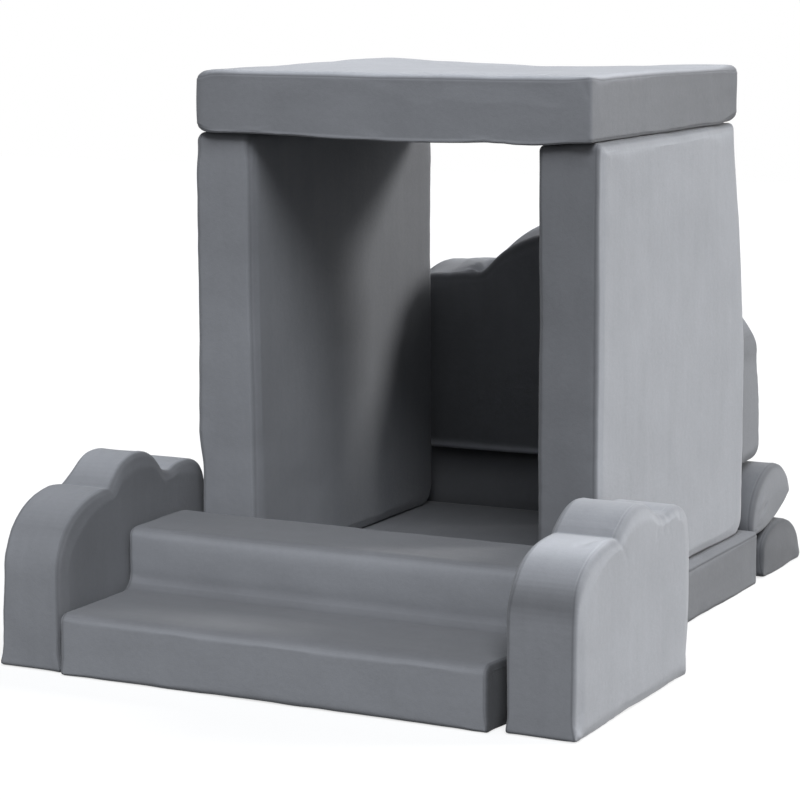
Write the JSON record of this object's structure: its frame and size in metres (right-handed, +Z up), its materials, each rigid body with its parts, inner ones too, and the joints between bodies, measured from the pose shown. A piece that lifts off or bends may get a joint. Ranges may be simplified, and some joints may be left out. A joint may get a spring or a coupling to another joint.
{
  "type": "kids foam play sofa",
  "caption": "Modular kids foam play sofa stacked as a small playhouse: padded floor, walls, roof, front stair, cloud-shaped arms and backrest on half-round bolsters.",
  "frame": {"origin": "middle of the ground under the whole stack", "axes": "+Z up, +X to the right as seen from the front, +Y from the stair at the front to the bolsters at the back"},
  "size_m": [0.996, 1.3402, 0.9286],
  "materials": {
    "suede_cover": "brushed microsuede, matte with a soft nap",
    "foam": "open-cell foam, matte",
    "zip_tape": "woven tape with a nylon coil",
    "zip_metal": "satin"
  },
  "bodies": {
    "base": {"base_cover": "suede_cover", "base_foam_core": "foam", "base_zip": "zip_tape"},
    "stair": {"stair_cover": "suede_cover", "stair_foam_core": "foam", "stair_zip": "zip_tape"},
    "left_arm": {"left_arm_cover": "suede_cover", "left_arm_foam_core": "foam", "left_arm_zip": "zip_tape"},
    "right_arm": {"right_arm_cover": "suede_cover", "right_arm_foam_core": "foam", "right_arm_zip": "zip_tape"},
    "left_wall": {"left_wall_cover": "suede_cover", "left_wall_foam_core": "foam", "left_wall_zip": "zip_tape"},
    "right_wall": {"right_wall_cover": "suede_cover", "right_wall_foam_core": "foam", "right_wall_zip": "zip_tape"},
    "roof": {"roof_cover": "suede_cover", "roof_foam_core": "foam", "roof_zip": "zip_tape"},
    "upper_bolster": {"upper_bolster_cover": "suede_cover", "upper_bolster_foam_core": "foam", "upper_bolster_zip": "zip_tape"},
    "backrest": {"backrest_cover": "suede_cover", "backrest_foam_core": "foam", "backrest_zip": "zip_tape"},
    "lower_bolster": {"lower_bolster_cover": "suede_cover", "lower_bolster_foam_core": "foam", "lower_bolster_zip": "zip_tape"},
    "base_slider": {"base_zip_slider": "zip_metal"},
    "stair_slider": {"stair_zip_slider": "zip_metal"},
    "left_arm_slider": {"left_arm_zip_slider": "zip_metal"},
    "right_arm_slider": {"right_arm_zip_slider": "zip_metal"},
    "left_wall_slider": {"left_wall_zip_slider": "zip_metal"},
    "right_wall_slider": {"right_wall_zip_slider": "zip_metal"},
    "roof_slider": {"roof_zip_slider": "zip_metal"},
    "upper_bolster_slider": {"upper_bolster_zip_slider": "zip_metal"},
    "backrest_slider": {"backrest_zip_slider": "zip_metal"},
    "lower_bolster_slider": {"lower_bolster_zip_slider": "zip_metal"}
  },
  "joints": [
    {"name": "stair_slide", "type": "slide", "parent": "base", "child": "stair", "axis": [0, -1, 0], "range_m": [0, 0.5]},
    {"name": "left_arm_slide", "type": "slide", "parent": "base", "child": "left_arm", "axis": [-1, 0, 0], "range_m": [0, 0.4]},
    {"name": "right_arm_slide", "type": "slide", "parent": "base", "child": "right_arm", "axis": [1, 0, 0], "range_m": [0, 0.4]},
    {"name": "left_wall_slide", "type": "slide", "parent": "base", "child": "left_wall", "axis": [1, 0, 0], "range_m": [-0.015, 0.2]},
    {"name": "right_wall_slide", "type": "slide", "parent": "base", "child": "right_wall", "axis": [-1, 0, 0], "range_m": [-0.015, 0.2]},
    {"name": "roof_lift", "type": "slide", "parent": "base", "child": "roof", "axis": [0, 0, 1], "range_m": [0, 0.3]},
    {"name": "upper_bolster_lift", "type": "slide", "parent": "base", "child": "upper_bolster", "axis": [0, 0, 1], "range_m": [0, 0.3]},
    {"name": "backrest_lift", "type": "slide", "parent": "upper_bolster", "child": "backrest", "axis": [0, 0, 1], "range_m": [0, 0.3]},
    {"name": "lower_bolster_slide", "type": "slide", "parent": "base", "child": "lower_bolster", "axis": [0, 1, 0], "range_m": [0, 0.3]},
    {"name": "base_zip_run", "type": "slide", "parent": "base", "child": "base_slider", "axis": [1, 0, 0], "range_m": [0, 0.604]},
    {"name": "stair_zip_run", "type": "slide", "parent": "stair", "child": "stair_slider", "axis": [1, 0, 0], "range_m": [0, 0.604]},
    {"name": "left_arm_zip_run", "type": "slide", "parent": "left_arm", "child": "left_arm_slider", "axis": [0, 0, 1], "range_m": [0, 0.134]},
    {"name": "right_arm_zip_run", "type": "slide", "parent": "right_arm", "child": "right_arm_slider", "axis": [0, 0, 1], "range_m": [0, 0.134]},
    {"name": "left_wall_zip_run", "type": "slide", "parent": "left_wall", "child": "left_wall_slider", "axis": [0, 0, 1], "range_m": [0, 0.572]},
    {"name": "right_wall_zip_run", "type": "slide", "parent": "right_wall", "child": "right_wall_slider", "axis": [0, 0, 1], "range_m": [0, 0.572]},
    {"name": "roof_zip_run", "type": "slide", "parent": "roof", "child": "roof_slider", "axis": [1, 0, 0], "range_m": [0, 0.551]},
    {"name": "upper_bolster_zip_run", "type": "slide", "parent": "upper_bolster", "child": "upper_bolster_slider", "axis": [1, 0, 0], "range_m": [0, 0.59]},
    {"name": "backrest_zip_run", "type": "slide", "parent": "backrest", "child": "backrest_slider", "axis": [1, 0, 0], "range_m": [0, 0.382]},
    {"name": "lower_bolster_zip_run", "type": "slide", "parent": "lower_bolster", "child": "lower_bolster_slider", "axis": [1, 0, 0], "range_m": [0, 0.59]}
  ]
}
